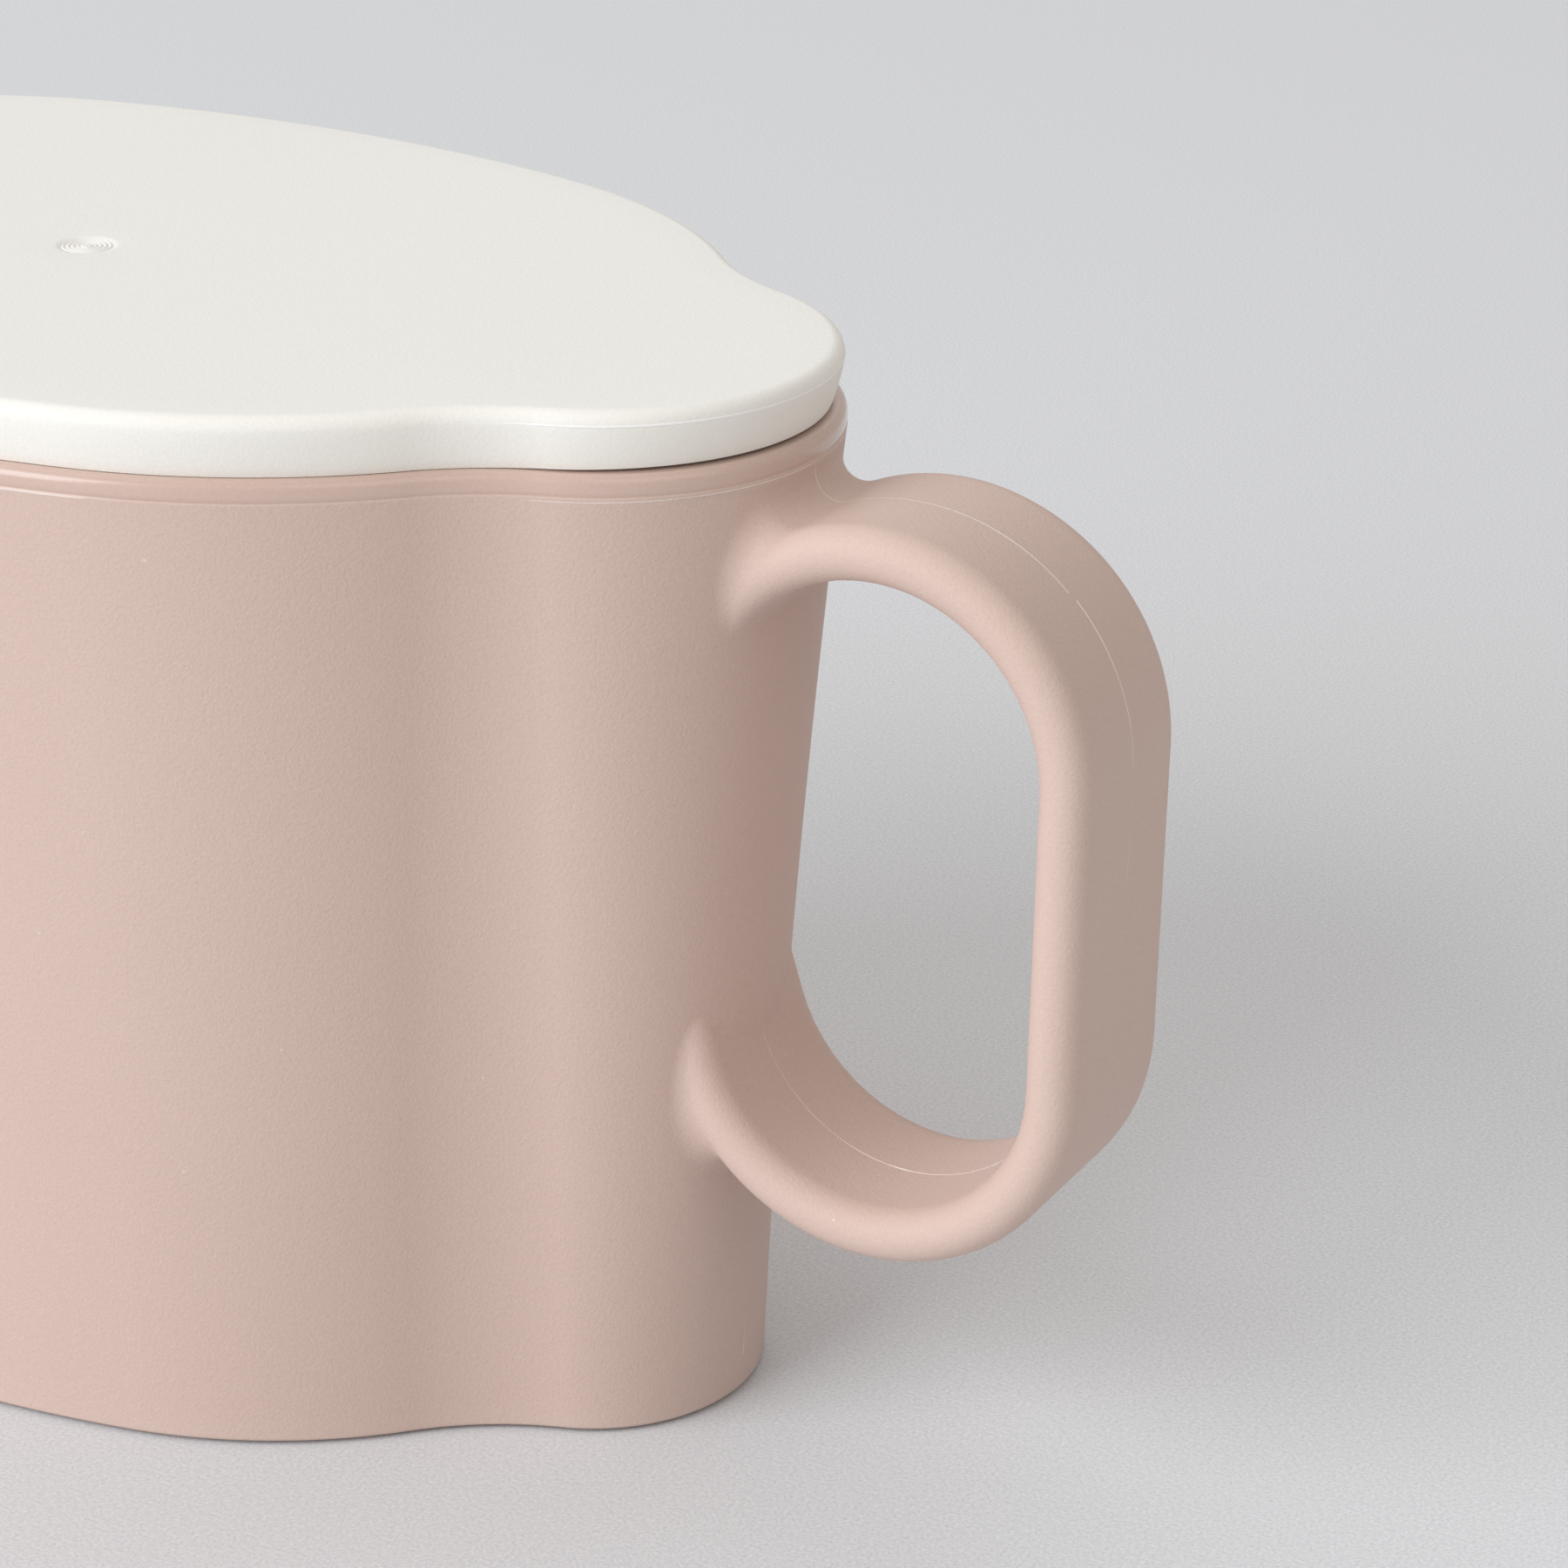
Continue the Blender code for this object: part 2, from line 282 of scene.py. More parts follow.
def make_grain_group():
    """Fine mould texture, and slow changes of tone and of gloss, for any moulded plastic."""
    tree, given = new_tree(
        "moulded grain",
        "ShaderNodeTree",
        {"Coordinates": "Vector", "Grain scale": "Float", "Flow scale": "Float"},
        {"Height": "Float", "Tone": "Float", "Gloss": "Float"},
    )
    fine = node(
        tree,
        "ShaderNodeTexNoise",
        {
            "Vector": given["Coordinates"],
            "Scale": given["Grain scale"],
            "Detail": 3.0,
            "Roughness": 0.6,
        },
    )
    slow = node(
        tree,
        "ShaderNodeTexNoise",
        {"Vector": given["Coordinates"], "Scale": given["Flow scale"], "Detail": 2.0},
    )
    patch_scale = maths(tree, "MULTIPLY", given["Flow scale"], PATCHES_PER_FLOW)
    patchy = node(
        tree,
        "ShaderNodeTexNoise",
        {"Vector": given["Coordinates"], "Scale": patch_scale},
    )
    half_patchy = maths(tree, "MULTIPLY", patchy.outputs["Fac"], 0.5)
    gloss = maths(tree, "MULTIPLY_ADD", fine.outputs["Fac"], 0.5, half_patchy)
    node(
        tree,
        "NodeGroupOutput",
        {"Height": fine.outputs["Fac"], "Tone": slow.outputs["Fac"], "Gloss": gloss},
    )
    return tree


# of the scattered points, those above the first chance are pale dust, those below the second dark
PALE_ABOVE, DARK_BELOW = 0.3, 0.1


def make_speck_group():
    """Sparse specks of dust: each lies where a scattered point falls close to the surface."""
    tree, given = new_tree(
        "stray specks",
        "ShaderNodeTree",
        {"Coordinates": "Vector", "Spacing": "Float", "Radius": "Float"},
        {"Pale": "Float", "Dark": "Float"},
    )
    cells = node(
        tree,
        "ShaderNodeTexVoronoi",
        {"Vector": given["Coordinates"], "Scale": maths(tree, "DIVIDE", 1.0, given["Spacing"])},
    )
    near = maths(tree, "MULTIPLY", cells.outputs["Distance"], given["Spacing"])
    spot = maths(tree, "LESS_THAN", near, given["Radius"])
    chance = node(tree, "ShaderNodeSeparateColor", {0: cells.outputs["Color"]}).outputs[0]
    pale = maths(tree, "MULTIPLY", spot, maths(tree, "GREATER_THAN", chance, PALE_ABOVE))
    dark = maths(tree, "MULTIPLY", spot, maths(tree, "LESS_THAN", chance, DARK_BELOW))
    node(tree, "NodeGroupOutput", {"Pale": pale, "Dark": dark})
    return tree


GRAIN = make_grain_group()
SPECKS = make_speck_group()


def blend_colour(tree, share, base, over):
    item = node(tree, "ShaderNodeMix", {0: share, 6: base, 7: over}, data_type="RGBA")
    return item.outputs[2]


DUST = (0.10, 0.07, 0.06, 1.0)
PALE_SPECK, DARK_SPECK = 0.5, 0.6
POLISH_SMOOTHS = 0.85


def moulded_plastic(name, colour, deep, polished, scuffed_and_glow_colour, finish):
    """A matte moulded plastic, deeper in colour where polished, with worn edges and dust.

    Colour and deep are the ends of its slow change of tone, and the last colour is what its edges
    lean to. The edges are real wear on the cup; on the lid the same mark is a painted warm glow of
    bounced light on its rounded edge and band.
    """
    material = bpy.data.materials.new(name)
    material.use_nodes = True
    tree = material.node_tree
    shader = tree.nodes["Principled BSDF"]
    where = node(tree, "ShaderNodeTexCoord").outputs["Object"]
    grain = node(
        tree,
        "ShaderNodeGroup",
        {
            "Coordinates": where,
            "Grain scale": finish["grain_scale"],
            "Flow scale": finish["flow_scale"],
        },
        node_tree=GRAIN,
    )
    specks = node(
        tree,
        "ShaderNodeGroup",
        {
            "Coordinates": where,
            "Spacing": finish["speck_spacing"],
            "Radius": finish["speck_radius"],
        },
        node_tree=SPECKS,
    )
    edge = node(tree, "ShaderNodeAttribute", attribute_name="edge").outputs["Fac"]
    polish = node(tree, "ShaderNodeAttribute", attribute_name="polish").outputs["Fac"]

    tone = blend_colour(tree, grain.outputs["Tone"], colour, deep)
    tone = blend_colour(tree, polish, tone, polished)
    # edges lean to the last colour: real wear on the cup, a painted warm glow of bounced light on
    # the lid
    wear_and_painted_glow = maths(tree, "MULTIPLY", edge, finish["scuff_and_glow"])
    tone = blend_colour(tree, wear_and_painted_glow, tone, scuffed_and_glow_colour)
    pale = maths(tree, "MULTIPLY", specks.outputs["Pale"], PALE_SPECK)
    tone = blend_colour(tree, pale, tone, scuffed_and_glow_colour)
    dark = maths(tree, "MULTIPLY", specks.outputs["Dark"], DARK_SPECK)
    tone = blend_colour(tree, dark, tone, DUST)
    shade = maths(tree, "SUBTRACT", grain.outputs["Height"], NOISE_MIDDLE)
    shade = maths(tree, "MULTIPLY_ADD", shade, finish["grain_shade"], 1.0)
    shaded = node(tree, "ShaderNodeVectorMath", {0: tone, "Scale": shade}, operation="SCALE")
    tree.links.new(shaded.outputs[0], shader.inputs["Base Color"])

    spread_gloss = maths(tree, "SUBTRACT", grain.outputs["Gloss"], NOISE_MIDDLE)
    rough = maths(tree, "MULTIPLY_ADD", spread_gloss, finish["gloss_spread"], finish["roughness"])
    smooth = maths(tree, "MULTIPLY", polish, finish["roughness"] - finish["polished"])
    tree.links.new(maths(tree, "SUBTRACT", rough, smooth), shader.inputs["Roughness"])

    coat = maths(tree, "MULTIPLY", polish, finish["polish_coat"])
    tree.links.new(coat, shader.inputs["Coat Weight"])
    shader.inputs["Coat Roughness"].default_value = finish["polished"]
    shader.inputs["Specular IOR Level"].default_value = finish["specular"]

    matte = maths(tree, "SUBTRACT", 1.0, maths(tree, "MULTIPLY", polish, POLISH_SMOOTHS))
    height = maths(tree, "MULTIPLY", grain.outputs["Height"], matte)
    bump = node(
        tree,
        "ShaderNodeBump",
        {"Height": height, "Strength": finish["bump"], "Distance": finish["grain_depth"]},
    )
    tree.links.new(bump.outputs[0], shader.inputs["Normal"])
    return material


CUP_FINISH = {
    "grain_scale": 3800.0,
    "flow_scale": 28.0,
    "speck_spacing": 0.006,
    "speck_radius": 0.00014,
    "scuff_and_glow": 0.25,
    "roughness": 0.52,
    "polished": 0.22,
    "polish_coat": 1.0,
    "specular": 0.2,
    "gloss_spread": 0.12,
    "bump": 1.0,
    "grain_depth": 0.00005,
    "grain_shade": 0.16,
}
CUP_PLASTIC = moulded_plastic(
    "cup_plastic_look",
    (0.655, 0.500, 0.440, 1.0),
    (0.628, 0.473, 0.412, 1.0),
    (0.61, 0.445, 0.38, 1.0),
    (0.80, 0.70, 0.64, 1.0),
    CUP_FINISH,
)

# rows and columns of the wall's mesh that frame the two places where the handle grows out of it
ROOT_ROWS = 16
ROOT_COLUMNS = 25
UPPER_ROOT = (0.0668, 0.07985)
LOWER_ROOT = (0.0206, 0.0400)
# how smooth the mould is inside, and how scuffed the foot ring, its edge, the other edges and the
# rim's line are
INSIDE_POLISH = 0.7
RING_WEAR, RING_EDGE_WEAR, EDGE_WEAR, LINE_WEAR = 0.6, 0.4, 0.3, 0.1


def cup_section():
    """Underside, foot, wall, rim, inside and floor as (from the wall's face, height, polish, edge).

    Polish is 1 where the mould is smooth, and edge is 1 where the surface gets scuffed.
    """
    foot_outer = -FOOT_ROUND - FOOT_STEP
    foot_inner = foot_outer - FOOT_WIDTH
    ring_edge = arc_points((foot_outer, FOOT_LIFT), (FOOT_LIFT,) * 2, -90, -10, 5)
    wall_edge = arc_points((-FOOT_ROUND, FOOT_EDGE), (FOOT_ROUND,) * 2, -90, 0, 8)
    rows = [(foot_inner - FOOT_RECESS, FOOT_RECESS, 0.0, 0.0)]
    rows += [(out, 0.0, 0.0, RING_WEAR) for out in spread(foot_inner, foot_outer, 4)]
    rows += [(*point, 0.0, RING_EDGE_WEAR) for point in ring_edge]
    rows += [(*point, 0.0, EDGE_WEAR) for point in wall_edge]
    heights = spread(FOOT_EDGE, LOWER_ROOT[0], 8)[1:]
    heights += spread(*LOWER_ROOT, ROOT_ROWS)
    heights += spread(LOWER_ROOT[1], UPPER_ROOT[0], 12)
    heights += spread(*UPPER_ROOT, ROOT_ROWS) + [UPPER_ROOT[1]]
    rows += [(0.0, z, 0.0, 0.0) for z in heights]

    # the lip tucks in a little above the wall's edge, bulges, and rounds over under the lid
    rows += [(0.0, RIM_LINE, 0.0, LINE_WEAR)]
    lip = arc_points((RIM_PROUD - LIP_BULGE, LIP_MIDDLE), (LIP_BULGE,) * 2, -LIP_TUCK, 0, 6)
    lean, end = (math.radians(angle) for angle in LIP_TURN)
    round_out = RIM_PROUD - LIP_LEAN - LIP_ROUND * math.cos(lean)
    round_z = CUP_HEIGHT - LIP_ROUND * math.sin(end)
    lip += arc_points((round_out, round_z), (LIP_ROUND,) * 2, *LIP_TURN, 14)
    rows += [(out - wall_offset(z), z, 1.0, 0.0) for out, z in lip]
    inner = wall_offset(CUP_HEIGHT) - WALL
    turn_out, turn_z = inner + LIP_INNER_ROUND, CUP_HEIGHT - LIP_INNER_ROUND
    flat = spread(lip[-1][0], turn_out, 4)[1:]
    turn = arc_points((turn_out, turn_z), (LIP_INNER_ROUND,) * 2, 90, 180, 6)
    rows += [(out - wall_offset(CUP_HEIGHT), CUP_HEIGHT, 1.0, EDGE_WEAR) for out in flat]
    rows += [(out - wall_offset(z), z, 1.0, EDGE_WEAR) for out, z in turn]

    corner_z = INNER_FLOOR + INNER_CORNER
    rows += [(-WALL, z, INSIDE_POLISH, 0.0) for z in spread(turn_z, corner_z, 18)[1:]]
    corner = arc_points((-WALL - INNER_CORNER, corner_z), (INNER_CORNER,) * 2, 0, -90, 10)
    rows += [(*point, INSIDE_POLISH, 0.0) for point in corner]
    return rows


CUP_ROWS = cup_section()
CUP_FLARE = {
    "Foot inset": FOOT_INSET,
    "Foot slope": FOOT_SLOPE,
    "Rim proud": RIM_PROUD,
}


def row_at(z):
    """The number of the outer wall's row at height z."""
    for index, row in enumerate(CUP_ROWS):
        if row[0] == 0.0 and math.isclose(row[1], z):
            return index
    raise ValueError("the wall has no row at this height")


def sweep_rows(rows, material, flare=None):
    marks = {"polish": [row[2] for row in rows], "edge": [row[3] for row in rows]}
    return sweep(OUTLINE, True, [row[:2] for row in rows], False, material, marks, flare)


def join_loops(builder, first, second):
    """Quads between two closed loops of vertices of the same length."""
    for index in range(len(first)):
        after = (index + 1) % len(first)
        builder.faces.new((first[index], first[after], second[after], second[index]))


def fill_to_disc(builder, loop, centre, disc, rings, mark):
    """Rings of quads from an outline loop in to a disc's (radius, rise) steps, and a last face."""
    last = loop
    height = loop[0].co.z
    bearings = [(Vector((v.co.x, v.co.y)) - centre).normalized() for v in loop]
    steps = [(share / rings, disc[0][0], 0.0) for share in range(1, rings + 1)]
    steps += [(1.0, radius, sink) for radius, sink in disc[1:]]
    for share, radius, sink in steps:
        ring = []
        for vertex, bearing in zip(loop, bearings):
            place = Vector((vertex.co.x, vertex.co.y)).lerp(centre + radius * bearing, share)
            ring.append(builder.verts.new((place.x, place.y, height + sink)))
            for layer, value in mark.items():
                ring[-1][layer] = value
        join_loops(builder, last, ring)
        last = ring
    builder.faces.new(last)


# a gate mark's edge, bed and stub, as shares of its radius and of its depth
GATE_EDGE = [(1.12, 0.0), (1.06, 0.06), (1.0, 0.25), (0.95, 0.6), (0.9, 0.85)]
GATE_BED, GATE_BED_START, GATE_BED_WIDTH = 0.92, 0.88, 0.66
GATE_STUB = [(0.19, 0.55), (0.16, 0.45), (0.06, 0.42)]
GATE_RINGS, GATE_RIPPLE, RIPPLE_FADE = 4, 0.4, 0.4


def gate_steps(radius, depth, up, count):
    """A gate mark's (radius, rise) steps: a turned recess with fine rings and a cut-off stub."""
    bed = []
    for step in range(count + 1):
        share = step / count
        ripple = GATE_RIPPLE * math.cos(2 * math.pi * GATE_RINGS * share)
        sink = GATE_BED + ripple * (1 - RIPPLE_FADE * share)
        bed.append((GATE_BED_START - GATE_BED_WIDTH * share, sink))
    steps = GATE_EDGE + bed + GATE_STUB
    return [(radius * ring, -up * depth * sink) for ring, sink in steps]


# Handle. A flat strap with fully round sides, moulded with the cup in the same plastic: a straight
# grip between two bends, whose ends run into the nub's wall in rolling-ball fillets. It is stitched
# to the cup's shell here, which makes the mug one closed moulding.

STRAP = 0.0042
STRAP_WIDTH = 0.0165
GRIP_X = CUP_X + 0.0896 - LINE_PROUD
BEND_RADIUS = 0.01545
BEND_SWEEP = math.radians(162)
ROOT_FILLET = 0.0020
# each bend's height and its way up or down
UPPER_BEND = (0.0609, 1)
LOWER_BEND = (0.03735, -1)
BEND_STEPS = 36
GRIP_STEPS = 10
FILLET_STEPS = 12
NECK_STEPS = 14
FRAME_STEPS = 6
# rounds of the two searches that place a fillet
NEAREST_ROUNDS = 6
HALVINGS = 50


def strap_section():
    """Each corner's place and facing as (across the strap, along Y), outer side first."""
    half = STRAP / 2
    side = STRAP_WIDTH / 2 - half
    corners = []
    for sign in (1, -1):
        for angle in spread(0.0, math.pi, ROOT_ROWS):
            facing = sign * compass(angle)
            corners.append((half * facing + Vector((0.0, sign * side)), facing))
        for along in spread(side, -side, 2 * ROOT_COLUMNS):
            corners.append((Vector((-sign * half, sign * along)), Vector((-sign, 0.0))))
    return corners


STRAP_CORNERS = strap_section()
STRAP_COUNT = len(STRAP_CORNERS)


def strap_point(bend, run, corner):
    """A corner of the strap after a run along its middle from the grip's end into a bend."""
    turned = min(run / BEND_RADIUS, BEND_SWEEP)
    beyond = run - turned * BEND_RADIUS
    radius = BEND_RADIUS + corner.x
    x = GRIP_X - BEND_RADIUS + radius * math.cos(turned) - beyond * math.sin(turned)
    rise = radius * math.sin(turned) + beyond * math.cos(turned)
    return Vector((x, corner.y, bend[0] + bend[1] * rise))


def strap_normal(bend, run, facing):
    turned = min(run / BEND_RADIUS, BEND_SWEEP)
    return Vector((facing.x * math.cos(turned), facing.y, bend[1] * facing.x * math.sin(turned)))


def nub_point(turn, z):
    """A point of the outer wall at a turn about the nub's middle, and at height z."""
    radius = NUB_RADIUS + wall_offset(z)
    return Vector((NUB_X + radius * math.cos(turn), radius * math.sin(turn), z))


def nearest_on_wall(point):
    """The nub wall's nearest point to a point, and the wall's normal there."""
    level = Vector((point.x - NUB_X, point.y))
    z = point.z
    for _ in range(NEAREST_ROUNDS):
        gap = level.length - NUB_RADIUS - wall_offset(z)
        slope = wall_slope(z)
        z += (point.z - z + gap * slope) / (1 + slope**2)
    bearing = level.normalized()
    normal = Vector((bearing.x, bearing.y, -wall_slope(z))).normalized()
    return nub_point(math.atan2(bearing.y, bearing.x), z), normal


def fillet_ball(bend, corner, facing):
    """The ball that touches the wall and this corner of the strap, as its middle and its run.

    The run is found by halving, between the grip's end and well inside the cup.
    """
    clear, inside = 0.0, BEND_RADIUS * BEND_SWEEP + STRAP_WIDTH
    for _ in range(HALVINGS):
        run = (clear + inside) / 2
        ball = strap_point(bend, run, corner) + ROOT_FILLET * strap_normal(bend, run, facing)
        touch, normal = nearest_on_wall(ball)
        if (ball - touch).dot(normal) > ROOT_FILLET:
            clear = run
        else:
            inside = run
    return ball, run


def root_line(bend, corner, facing):
    """Points along one corner of a root, from the wall round the fillet and up to the bend."""
    ball, run = fillet_ball(bend, corner, facing)
    _, normal = nearest_on_wall(ball)
    strap = strap_normal(bend, run, facing)
    line = []
    for step in range(FILLET_STEPS + 1):
        line.append(ball - ROOT_FILLET * normal.slerp(strap, step / FILLET_STEPS))
    quarter = BEND_RADIUS * math.pi / 2
    for step in range(1, NECK_STEPS):
        line.append(strap_point(bend, run + (quarter - run) * step / NECK_STEPS, corner))
    return line


def root_frame(rows, bend):
    """Wall vertices round a root, as (step along the outline, row), in the strap corners' order."""
    low, high = row_at(rows[0]), row_at(rows[1])
    first, last = (high, low) if bend[1] > 0 else (low, high)
    step = 1 if last > first else -1
    frame_line = [(ROOT_COLUMNS, row) for row in range(first, last, step)]
    frame_line += [(column, last) for column in range(ROOT_COLUMNS, -ROOT_COLUMNS, -1)]
    frame_line += [(-ROOT_COLUMNS, row) for row in range(last, first, -step)]
    frame_line += [(column, first) for column in range(-ROOT_COLUMNS, ROOT_COLUMNS)]
    return frame_line


def grow_root(builder, shell, strap_ring, rows, bend):
    """Replaces a window of the wall by mesh that runs smoothly into one end of the strap."""
    low, high = row_at(rows[0]), row_at(rows[1])
    window = set()
    for column in range(-ROOT_COLUMNS + 1, ROOT_COLUMNS):
        for row in range(low + 1, high):
            window.add(shell(column, row))
    bmesh.ops.delete(builder, geom=list(window), context="VERTS")

    frame_loop = [shell(*place) for place in root_frame(rows, bend)]
    lines = [root_line(bend, corner, facing) for corner, facing in STRAP_CORNERS]
    turn_height = []
    for vertex, line in zip(frame_loop, lines):
        outer = (math.atan2(vertex.co.y, vertex.co.x - NUB_X), vertex.co.z)
        inner = (math.atan2(line[0].y, line[0].x - NUB_X), line[0].z)
        turn_height.append((outer, inner))
    loops = [frame_loop]
    for step in range(1, FRAME_STEPS):
        share = step / FRAME_STEPS
        loop = []
        for (turn, z), (end_turn, end_z) in turn_height:
            place = nub_point(turn + (end_turn - turn) * share, z + (end_z - z) * share)
            loop.append(builder.verts.new(place))
        loops.append(loop)
    for places in zip(*lines):
        loops.append([builder.verts.new(place) for place in places])
    loops.append(strap_ring)
    for first, second in zip(loops, loops[1:]):
        join_loops(builder, first, second)


def strap_path():
    """The strap's middle from one bend's top to the other's, with one step to spare at each end."""
    quarter = BEND_RADIUS * math.pi / 2
    middle = Vector((0.0, 0.0))
    runs = [quarter * (BEND_STEPS + 1 - step) / BEND_STEPS for step in range(BEND_STEPS + 1)]
    upper = [strap_point(UPPER_BEND, run, middle) for run in runs]
    lower = [strap_point(LOWER_BEND, run, middle) for run in reversed(runs)]
    grip = [Vector((GRIP_X, 0.0, z)) for z in spread(UPPER_BEND[0], LOWER_BEND[0], GRIP_STEPS)]
    return upper + grip + [Vector((GRIP_X, 0.0, LOWER_BEND[0]))] + lower


def finish_piece(builder, name, material, sharp):
    """The finished object of a mesh in the making, shaded smooth up to the sharp angle."""
    bmesh.ops.recalc_face_normals(builder, faces=builder.faces)
    mesh = bpy.data.meshes.new(name)
    builder.to_mesh(mesh)
    builder.free()
    mesh.materials.clear()
    mesh.materials.append(material)
    mesh.shade_smooth()
    mesh.set_sharp_from_angle(angle=sharp)
    item = bpy.data.objects.new(name, mesh)
    bpy.context.scene.collection.objects.link(item)
    return item


SHARP = math.radians(24)
CUP_GATE = gate_steps(0.0026, 0.0003, -1, 24)
PLAIN_DISC = [(0.003, 0.0)]
DISC_RINGS = 8


def make_mug():
    """Shell, floor, underside and handle stitched into one closed moulding."""
    builder = bmesh.new()
    shell_mesh = sweep_rows(CUP_ROWS, CUP_PLASTIC, CUP_FLARE)
    builder.from_mesh(shell_mesh)
    strap_mesh = sweep(
        strap_path(),
        False,
        [(-corner.y, corner.x) for corner, _ in STRAP_CORNERS],
        True,
        CUP_PLASTIC,
    )
    builder.from_mesh(strap_mesh)
    bpy.data.meshes.remove(shell_mesh)
    bpy.data.meshes.remove(strap_mesh)
    builder.verts.ensure_lookup_table()
    every = list(builder.verts)
    height = len(CUP_ROWS)

    def shell(column, row):
        return every[(column % AROUND) * height + row]

    strap = every[AROUND * height:]
    rings = [strap[start:start + STRAP_COUNT] for start in range(0, len(strap), STRAP_COUNT)]
    bmesh.ops.delete(builder, geom=rings[0] + rings[-1], context="VERTS")
    grow_root(builder, shell, rings[1], UPPER_ROOT, UPPER_BEND)
    grow_root(builder, shell, rings[-2], LOWER_ROOT, LOWER_BEND)

    polish = builder.verts.layers.float["polish"]
    edge = builder.verts.layers.float["edge"]
    centre = Vector((CUP_X, 0.0))
    underside = [shell(column, 0) for column in range(AROUND)]
    floor_loop = [shell(column, height - 1) for column in range(AROUND)]
    plain, smooth = {polish: 0.0, edge: 0.0}, {polish: INSIDE_POLISH, edge: 0.0}
    fill_to_disc(builder, underside, centre, CUP_GATE, DISC_RINGS, plain)
    fill_to_disc(builder, floor_loop, centre, PLAIN_DISC, DISC_RINGS, smooth)
    return finish_piece(builder, "mug_moulding", CUP_PLASTIC, SHARP)


mug = make_mug()
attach(mug, "mug")
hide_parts("mug_body")

# Parting lines of the cup. Where the mould's halves and its ring met, a hair-thin ridge of plastic
# stands on the surface: round the wall below the rim and along the middle of the handle. It fades
# in and out, and jogs a little where two mould pieces did not line up.

RIM_RIDGE = 0.00010
HANDLE_RIDGE = 0.00012
RIDGE_SINK = 0.7
RIDGE_STEP = 0.0004
RIDGE_SIDES = 8
RIDGE_SHARP = math.radians(80)
# how far noise swings a ridge's boldness, the least that is left of it, and its seeds
RIDGE_FADE = 0.7
RIDGE_LEAST = 0.3
FIRST_SEED, SEED_STEP = 3.0, 5.0
CUP_FADE_LENGTH = 0.007
# the rim's line drops at its jog, climbs back over a share of the way round, and is weak beside it
RIM_JOG_X = 0.0131
RIM_JOG = 0.00028
RIM_JOG_RUN = 0.4
RIM_BOLD, RIM_BOLD_HANDLE = 0.86, 0.81
RIM_WEAKER = 0.41
RIM_WEAK_X, RIM_WEAK_REACH, RIM_WEAK_STEEP = 0.0245, 0.0135, 3.0
HANDLE_JOG_TURN = math.radians(45)
HANDLE_JOG = 0.0002
HANDLE_JOG_RUN = 0.4


def make_ridge_tree():
    """A thin bead along a path of edges: it swells with the path's boldness and with noise."""
    tree, given = new_tree(
        "parting line",
        "GeometryNodeTree",
        {
            "Path": "Geometry",
            "Radius": "Float",
            "Step": "Float",
            "Sides": "Int",
            "Fade": "Float",
            "Fade length": "Float",
            "Least": "Float",
            "Seed": "Float",
            "Material": "Material",
        },
        {"Ridge": "Geometry"},
    )
    path = node(tree, "GeometryNodeMeshToCurve", {"Mesh": given["Path"]})
    even = node(
        tree,
        "GeometryNodeResampleCurve",
        {"Curve": path.outputs[0], "Length": given["Step"]},
        mode="LENGTH",
    )
    noise_scale = maths(tree, "DIVIDE", 1.0, given["Fade length"])
    noise = node(
        tree,
        "ShaderNodeTexNoise",
        {"W": given["Seed"], "Scale": noise_scale, "Detail": 2.0},
        noise_dimensions="4D",
    )
    swing = maths(tree, "SUBTRACT", noise.outputs["Fac"], NOISE_MIDDLE)
    swing = maths(tree, "MULTIPLY", swing, given["Fade"])
    bold = node(tree, "GeometryNodeInputNamedAttribute", {"Name": "boldness"}, data_type="FLOAT")
    swell = maths(tree, "ADD", bold.outputs["Attribute"], swing)
    swell = maths(tree, "MINIMUM", maths(tree, "MAXIMUM", swell, given["Least"]), 1.0)
    ring = node(
        tree,
        "GeometryNodeCurvePrimitiveCircle",
        {"Resolution": given["Sides"], "Radius": given["Radius"]},
    )
    bead = node(
        tree,
        "GeometryNodeCurveToMesh",
        {
            "Curve": even.outputs[0],
            "Profile Curve": ring.outputs[0],
            "Scale": swell,
            "Fill Caps": True,
        },
    )
    real = node(tree, "GeometryNodeRealizeInstances", {"Geometry": bead.outputs[0]})
    skin = node(
        tree,
        "GeometryNodeSetMaterial",
        {"Geometry": real.outputs[0], "Material": given["Material"]},
    )
    node(tree, "NodeGroupOutput", {"Ridge": skin.outputs[0]})
    return tree


RIDGE = make_ridge_tree()


def ridge_piece(name, lines, fade_length, material):
    """One object of several ridges, each given as (points, boldness of each, closed, radius)."""
    builder = bmesh.new()
    for number, (points, boldness, closed, radius) in enumerate(lines):
        values = {
            "Radius": radius,
            "Step": RIDGE_STEP,
            "Sides": RIDGE_SIDES,
            "Fade": RIDGE_FADE,
            "Fade length": fade_length,
            "Least": RIDGE_LEAST,
            "Seed": FIRST_SEED + SEED_STEP * number,
            "Material": material,
        }
        host = edge_line("path", points, closed, {"boldness": boldness})
        mesh = grow_nodes(host, RIDGE, values)
        builder.from_mesh(mesh)
        bpy.data.meshes.remove(mesh)
    return finish_piece(builder, name, material, RIDGE_SHARP)


def sunk_level(heights, offset_at, radius):
    """The plan outline as a path at the given heights, sunk a little below the face there."""
    points = []
    for index, z in enumerate(heights):
        along = OUTLINE[(index + 1) % AROUND] - OUTLINE[index - 1]
        outward = Vector((along.y, -along.x, 0.0)).normalized()
        place = OUTLINE[index] + (offset_at(z) - RIDGE_SINK * radius) * outward
        points.append(Vector((place.x, place.y, z)))
    return points


def sunk_upright(points, side, closed, radius):
    """A path in the handle's middle plane, sunk below the face that lies on one side of it."""
    count = len(points)
    sunk = []
    for index, point in enumerate(points):
        before = points[index - 1] if closed else points[max(index - 1, 0)]
        after = points[(index + 1) % count] if closed else points[min(index + 1, count - 1)]
        along = (after - before).normalized()
        sunk.append(point - side * RIDGE_SINK * radius * Vector((-along.z, 0.0, along.x)))
    return sunk


